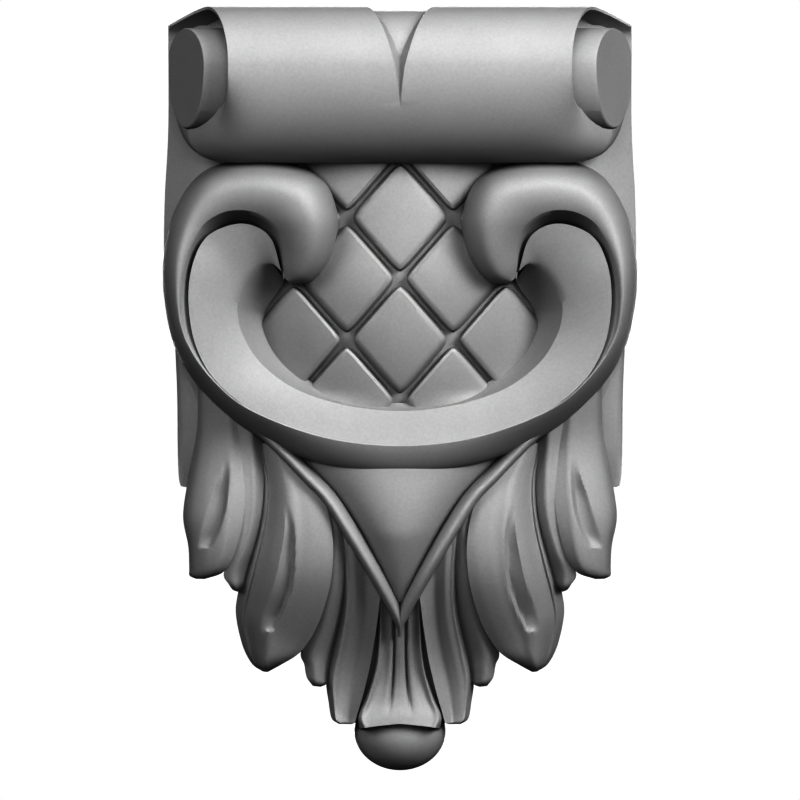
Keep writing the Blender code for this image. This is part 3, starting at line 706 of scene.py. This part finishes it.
def leaf_lobe(name, side):
    """One carved lobe of the acanthus."""
    lobe = LOBES[name]
    shares = np.linspace(0, 1, LOBE_COLUMNS)
    even = np.linspace(0, 1, LOBE_ROWS)
    t = 1 - np.linspace(1, 0, LOBE_ROWS) ** LOBE_CROWDING
    outlines = [curve(lobe[edge], LOBE_ROWS).T for edge in ("outer", "inner")]
    outer, inner = [np.stack([np.interp(t, even, c) for c in line], axis=1) for line in outlines]
    heights = LOBE_RELIEF * relief(lobe["shares"], lobe["stations"], shares, t)
    heights = heights + (lobe["curl"] * t ** 2 - tip_fall(t, *lobe["tip"]))[:, None]
    if name in HOLLOWS:
        x = blend(outer[:, :1], inner[:, :1], shares)
        z = blend(outer[:, 1:], inner[:, 1:], shares)
        heights = heights + hollow(x, z, **HOLLOWS[name])
    return strip("lobe_" + name, outer, inner, heights, shares, lobe["thickness"], side)


def centre_leaf(rows=72, columns=81):
    """Leaf under the point of the V, its root following the V and its lip curling out over the ball."""
    s = np.linspace(0, 1, columns)[None, :]
    t = np.linspace(0, 1, rows)[:, None]
    half = np.minimum(s, 1 - s)[0]
    edge = curve(CENTRE_LEAF, rows)
    x = edge[:, :1] * (1 - 2 * s)
    middle = 1 - np.abs(1 - 2 * s)
    z = edge[:, 1:] - CENTRE_ROOT_DROP * (1 - t) ** 2 * middle
    z = z + LIP_ARCH * t ** LIP_ARCH_ALONG * middle ** LIP_ARCH_ACROSS
    heights = relief(CENTRE_SHARES, CENTRE_STATIONS, half, t[:, 0])
    return raised("centre_leaf", x, z, heights, CENTRE_THICKNESS)


def side_leaf(leaf, side, rows=40, columns=25):
    """Leaf on a side face, standing out sideways."""
    s = np.linspace(0, 1, columns)[None, :]
    front = curve(leaf["front"], rows)
    rear = curve(leaf["rear"], rows)
    depth = blend(front[:, :1], rear[:, :1], s)
    z = blend(front[:, 1:], rear[:, 1:], s)
    profile = curve(BODY_PROFILE, BODY_STEPS)
    wall = np.interp(z, profile[:, 0], profile[:, 1])
    reach = curve(SIDE_LEAF_REACH, REACH_STEPS)
    room = np.maximum(np.interp(z, reach[:, 0], reach[:, 1]) - wall, SIDE_LEAF_LEAST)
    stand = room * reading(SIDE_LEAF_ACROSS, s[0])[None, :]
    outside = np.stack([side * (wall + stand), depth, z], axis=2)
    inside = np.stack([side * (wall - SIDE_LEAF_ROOT), depth, z], axis=2)
    return slab("side_leaf", outside, inside)


def ball(rows=44, columns=72):
    """Ball at the foot, cut flat just in front of the back plane."""
    points = [(0.0, BALL_DEPTH, BALL_Z - BALL_HEIGHT)]
    for r in range(1, rows):
        a = math.pi * r / rows - math.pi / 2
        for c in range(columns):
            b = 2 * math.pi * c / columns
            across = BALL_RADIUS * math.cos(a) * math.sin(b)
            depth = max(BALL_DEPTH + BALL_RADIUS * math.cos(a) * math.cos(b), BACK_GAP)
            points.append((across, depth, BALL_Z + BALL_HEIGHT * math.sin(a)))
    points.append((0.0, BALL_DEPTH, BALL_Z + BALL_HEIGHT))
    top = len(points) - 1
    faces = []
    for c in range(columns):
        n = (c + 1) % columns
        faces.append((0, 1 + n, 1 + c))
        faces.append((top, top - columns + c, top - columns + n))
        for r in range(rows - 2):
            low = 1 + r * columns
            faces.append((low + c, low + n, low + columns + n, low + columns + c))
    return mesh_object("ball", points, faces)


class Nodes:
    """Shorthand for placing and wiring the nodes of one tree."""

    def __init__(self, tree):
        self.tree = tree

    def add(self, kind, **inputs):
        """New node with its inputs, whose names have _ for a blank."""
        node = self.tree.nodes.new(kind)
        for key, value in inputs.items():
            self.feed(node, key.replace("_", " "), value)
        return node

    def feed(self, node, socket, value):
        """Set a socket, by its name or number, to a value or to another socket."""
        target = node.inputs[int(socket)] if str(socket).isdigit() else node.inputs[socket]
        if isinstance(value, bpy.types.NodeSocket):
            self.tree.links.new(value, target)
        else:
            target.default_value = value

    def sum(self, operation, first, second=None, third=None):
        """Result of a math node."""
        node = self.tree.nodes.new("ShaderNodeMath")
        node.operation = operation
        for place, value in enumerate((first, second, third)):
            if value is not None:
                self.feed(node, place, value)
        return node.outputs[0]


def pad_shape(n, given):
    """One pad: a flat box whose front layer is pillowed."""
    box = n.add("GeometryNodeMeshCube", Size=(2.0, 1.0, 2.0), Vertices_X=PAD_VERTICES, Vertices_Y=2,
                Vertices_Z=PAD_VERTICES)
    place = n.add("ShaderNodeSeparateXYZ", Vector=n.add("GeometryNodeInputPosition").outputs[0]).outputs
    u, side, v = place[0], place[1], place[2]
    spread = n.sum("SUBTRACT", 1.0, n.sum("MULTIPLY", 2.0, given["Inset"]))

    def pulled(first, second):
        """First place, with its corner pulled in by the second."""
        near_edge = n.sum("POWER", n.sum("ABSOLUTE", second), PAD_CORNER_POWER)
        pull = n.sum("MULTIPLY", given["Corner"], near_edge)
        return n.sum("MULTIPLY", first, n.sum("SQRT", n.sum("SUBTRACT", 1.0, pull)))

    pu = n.sum("MULTIPLY", pulled(u, v), n.sum("MULTIPLY", 0.5, spread))
    pv = n.sum("MULTIPLY", pulled(v, u), n.sum("MULTIPLY", 0.5, spread))
    x = n.sum("MULTIPLY", n.sum("SUBTRACT", pu, pv), given["Step X"])
    z = n.sum("MULTIPLY", n.sum("ADD", pu, pv), given["Step Z"])
    far = n.sum("MAXIMUM", n.sum("ABSOLUTE", u), n.sum("ABSOLUTE", v))
    into = n.sum("MINIMUM", n.sum("DIVIDE", n.sum("SUBTRACT", 1.0, far), given["Edge"]), 1.0)
    out = n.sum("SUBTRACT", 1.0, into)
    rounded = n.sum("SQRT", n.sum("SUBTRACT", 1.0, n.sum("MULTIPLY", out, out)))
    bowed = n.sum("MULTIPLY", given["Bow"], n.sum("ADD", n.sum("MULTIPLY", u, u), n.sum("MULTIPLY", v, v)))
    height = n.sum("SUBTRACT", n.sum("MULTIPLY", rounded, given["Pillow"]), bowed)
    height = n.sum("ADD", height, n.sum("SUBTRACT", given["Rise"], given["Pillow"]))
    is_front = n.sum("LESS_THAN", side, 0.0)
    y = n.sum("SUBTRACT", n.sum("MULTIPLY", n.sum("SUBTRACT", 1.0, is_front), given["Sink"]),
              n.sum("MULTIPLY", is_front, height))
    shaped = n.add("ShaderNodeCombineXYZ", X=x, Y=y, Z=z).outputs[0]
    return n.add("GeometryNodeSetPosition", Geometry=box.outputs["Mesh"], Position=shaped).outputs[0]


def pad_places(n, given):
    """Middles of the pads: two grids with steps of 2, the second shifted by 1 to lie between the first."""
    joined = n.add("GeometryNodeJoinGeometry")
    wide = 2.0 * (PAD_GRID_COLUMNS - 1)
    high = 2.0 * (PAD_GRID_ROWS - 1)
    for shift in (0.0, 1.0):
        grid = n.add("GeometryNodeMeshGrid", Size_X=wide, Size_Y=high, Vertices_X=PAD_GRID_COLUMNS,
                     Vertices_Y=PAD_GRID_ROWS).outputs[0]
        at = n.add("ShaderNodeSeparateXYZ", Vector=n.add("GeometryNodeInputPosition").outputs[0]).outputs
        gx = n.sum("MULTIPLY", n.sum("ADD", at[0], shift), given["Step X"])
        rows_down = n.sum("ADD", at[1], high / 2 + shift)
        gz = n.sum("SUBTRACT", given["Top Z"], n.sum("MULTIPLY", rows_down, given["Step Z"]))
        spot = n.add("ShaderNodeCombineXYZ", X=gx, Z=gz).outputs[0]
        moved = n.add("GeometryNodeSetPosition", Geometry=grid, Position=spot).outputs[0]
        n.tree.links.new(moved, joined.inputs[0])
    spot = n.add("ShaderNodeSeparateXYZ", Vector=n.add("GeometryNodeInputPosition").outputs[0]).outputs
    outside = n.sum("MAXIMUM", n.sum("GREATER_THAN", n.sum("ABSOLUTE", spot[0]), given["Reach"]),
                    n.sum("MAXIMUM", n.sum("GREATER_THAN", spot[2], given["High Z"]),
                          n.sum("LESS_THAN", spot[2], given["Low Z"])))
    return n.add("GeometryNodeDeleteGeometry", Geometry=joined.outputs[0], Selection=outside).outputs[0]


def lattice_tree():
    """Diamond pads in staggered rows, laid flat: x across, z up, and -y their height."""
    tree = bpy.data.node_groups.new("diamond_pads", "GeometryNodeTree")
    tree.interface.new_socket("Geometry", in_out="OUTPUT", socket_type="NodeSocketGeometry")
    sizes = {"Step X": PAD_STEP_X, "Step Z": PAD_STEP_Z, "Top Z": PAD_TOP_Z, "Inset": PAD_INSET,
             "Corner": PAD_CORNER, "Rise": PAD_RISE, "Bow": PAD_BOW, "Sink": PAD_SINK,
             "Pillow": PAD_PILLOW, "Edge": PAD_EDGE, "Low Z": PAD_LOW_Z, "High Z": PAD_HIGH_Z,
             "Reach": PAD_REACH}
    for name in sizes:
        tree.interface.new_socket(name, in_out="INPUT", socket_type="NodeSocketFloat")
    tree.interface.new_socket("Stone", in_out="INPUT", socket_type="NodeSocketMaterial")
    n = Nodes(tree)
    given = n.add("NodeGroupInput").outputs
    pad = pad_shape(n, given)
    places = pad_places(n, given)
    copies = n.add("GeometryNodeInstanceOnPoints", Points=places, Instance=pad).outputs[0]
    real = n.add("GeometryNodeRealizeInstances", Geometry=copies).outputs[0]
    done = n.add("GeometryNodeSetMaterial", Geometry=real, Material=given["Stone"]).outputs[0]
    n.tree.links.new(done, n.add("NodeGroupOutput").inputs[0])
    return tree, sizes


def lattice(stone):
    """The pads of the lattice, bent on to the carved face."""
    tree, sizes = lattice_tree()
    holder = mesh_object("lattice", [], [])
    nodes = holder.modifiers.new("pads", "NODES")
    nodes.node_group = tree
    for socket in tree.interface.items_tree:
        if socket.in_out == "INPUT":
            nodes[socket.identifier] = stone if socket.name == "Stone" else sizes[socket.name]
    evaluated = holder.evaluated_get(bpy.context.evaluated_depsgraph_get())
    mesh = bpy.data.meshes.new_from_object(evaluated)
    holder.modifiers.clear()
    holder.data = mesh
    places = np.empty(len(mesh.vertices) * 3)
    mesh.vertices.foreach_get("co", places)
    places = places.reshape(-1, 3)
    places[:, 1] -= face_depth(places[:, 0], places[:, 2]) - field_fall(places[:, 0], places[:, 2])
    mesh.vertices.foreach_set("co", (places * MM).ravel())
    mesh.update()
    return holder


def unite(target, pieces):
    """Join the pieces to the target as one solid, and remove them."""
    for piece in pieces:
        join = target.modifiers.new("join", "BOOLEAN")
        join.operation = "UNION"
        join.solver = "MANIFOLD"
        join.object = piece
        evaluated = target.evaluated_get(bpy.context.evaluated_depsgraph_get())
        mesh = bpy.data.meshes.new_from_object(evaluated)
        target.modifiers.clear()
        target.data = mesh
        bpy.data.objects.remove(piece, do_unlink=True)


def stone_material():
    """Matt, fine-grained pale grey stone."""
    material = bpy.data.materials.new("honed_grey_stone")
    material.use_nodes = True
    tree = material.node_tree
    n = Nodes(tree)
    shader = tree.nodes["Principled BSDF"]
    shader.inputs["Roughness"].default_value = STONE_ROUGHNESS
    shader.inputs["Specular IOR Level"].default_value = STONE_SPECULAR
    place = n.add("ShaderNodeTexCoord").outputs["Object"]
    noise = "ShaderNodeTexNoise"
    cloud = n.add(noise, Vector=place, Scale=CLOUD_SCALE, Detail=4.0, Roughness=0.55).outputs["Fac"]
    grain = n.add(noise, Vector=place, Scale=GRAIN_SCALE, Detail=3.0, Roughness=0.6).outputs["Fac"]
    tone = n.sum("MULTIPLY_ADD", n.sum("SUBTRACT", cloud, 0.5), CLOUD_TONE, STONE_TONE)
    tone = n.sum("ADD", tone, n.sum("MULTIPLY", n.sum("SUBTRACT", grain, 0.5), GRAIN_TONE))
    colour = n.add("ShaderNodeCombineColor", Red=tone, Green=tone, Blue=tone).outputs[0]
    tree.links.new(colour, shader.inputs["Base Color"])
    bump = n.add("ShaderNodeBump", Strength=GRAIN_STRENGTH, Distance=GRAIN_HEIGHT, Height=grain)
    tree.links.new(bump.outputs[0], shader.inputs["Normal"])
    return material


def carved_stone(stone):
    """The whole corbel as one carved block."""
    corbel = body()
    pieces = [roll(), roll_eye(1), roll_eye(-1), scroll_face(), scroll_tube(), lattice(stone)]
    pieces += [v_panel(), v_moulding()]
    for name in LOBES:
        pieces += [leaf_lobe(name, side) for side in (1, -1)]
    pieces += [centre_leaf(), ball()]
    for leaf in SIDE_LEAVES:
        pieces += [side_leaf(leaf, side) for side in (1, -1)]
    unite(corbel, pieces)
    corbel.name = "carved_stone"
    corbel.data.name = "carved_stone"
    corbel.data.materials.clear()
    corbel.data.materials.append(stone)
    corbel.data.shade_smooth()
    corbel.data.set_sharp_from_angle(angle=SHARP_FROM)
    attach(corbel, "root")
    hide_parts("carved_corbel")


def floor():
    """Plain pale floor, well below the bracket as on a wall at head height."""
    corners = [(-1, -1), (1, -1), (1, 1), (-1, 1)]
    mesh = bpy.data.meshes.new("floor")
    mesh.from_pydata([(x * FLOOR_REACH, y * FLOOR_REACH, FLOOR_Z) for x, y in corners], [], [(0, 1, 2, 3)])
    item = bpy.data.objects.new("floor", mesh)
    bpy.context.scene.collection.objects.link(item)
    material = bpy.data.materials.new("pale_floor")
    material.use_nodes = True
    shader = material.node_tree.nodes["Principled BSDF"]
    shader.inputs["Base Color"].default_value = (FLOOR_TONE, FLOOR_TONE, FLOOR_TONE, 1.0)
    shader.inputs["Roughness"].default_value = FLOOR_ROUGHNESS
    n = Nodes(material.node_tree)
    seen = n.add("ShaderNodeLightPath").outputs["Is Camera Ray"]
    n.feed(shader, "Emission Color", (1.0, 1.0, 1.0, 1.0))
    n.feed(shader, "Emission Strength", n.sum("MULTIPLY", seen, FLOOR_GLOW))
    mesh.materials.append(material)


def lamp(name, azimuth, elevation, power):
    """Soft square lamp aimed at the bracket."""
    a = math.radians(azimuth)
    e = math.radians(elevation)
    data = bpy.data.lights.new(name, "AREA")
    data.shape = "SQUARE"
    data.size = LAMP_SIZE
    data.spread = LAMP_SPREAD
    data.energy = power
    item = bpy.data.objects.new(name, data)
    item.location = (LAMP_DISTANCE * math.sin(a) * math.cos(e),
                     -LAMP_DISTANCE * math.cos(a) * math.cos(e),
                     LAMP_DISTANCE * math.sin(e))
    item.rotation_euler = (math.pi / 2 - e, 0.0, a)
    item.visible_camera = False
    bpy.context.scene.collection.objects.link(item)


def studio():
    """Lamps, the white surround and the tone of the picture."""
    for settings in LAMPS:
        lamp(*settings)
    world = bpy.data.worlds.new("studio_white")
    world.use_nodes = True
    tree = world.node_tree
    n = Nodes(tree)
    background = tree.nodes["Background"]
    seen = n.add("ShaderNodeLightPath").outputs["Is Camera Ray"]
    strength = n.sum("MULTIPLY_ADD", seen, 1.0, SURROUND_LIGHT)
    background.inputs["Color"].default_value = (1.0, 1.0, 1.0, 1.0)
    tree.links.new(strength, background.inputs["Strength"])
    scene = bpy.context.scene
    scene.world = world
    scene.view_settings.view_transform = "Standard"
    scene.view_settings.gamma = VIEW_GAMMA


def camera():
    """Long lens straight in front, as the photograph was taken."""
    data = bpy.data.cameras.new("camera")
    data.sensor_width = SENSOR
    data.lens = SENSOR * CAMERA_DISTANCE / VIEW_WIDTH
    data.clip_end = 2 * CAMERA_DISTANCE
    item = bpy.data.objects.new("camera", data)
    item.location = (0.0, -VIEW_DEPTH - CAMERA_DISTANCE, VIEW_CENTRE_Z)
    item.rotation_euler = (math.pi / 2, 0.0, 0.0)
    bpy.context.scene.collection.objects.link(item)
    bpy.context.scene.camera = item


camera()
studio()
floor()
carved_stone(stone_material())
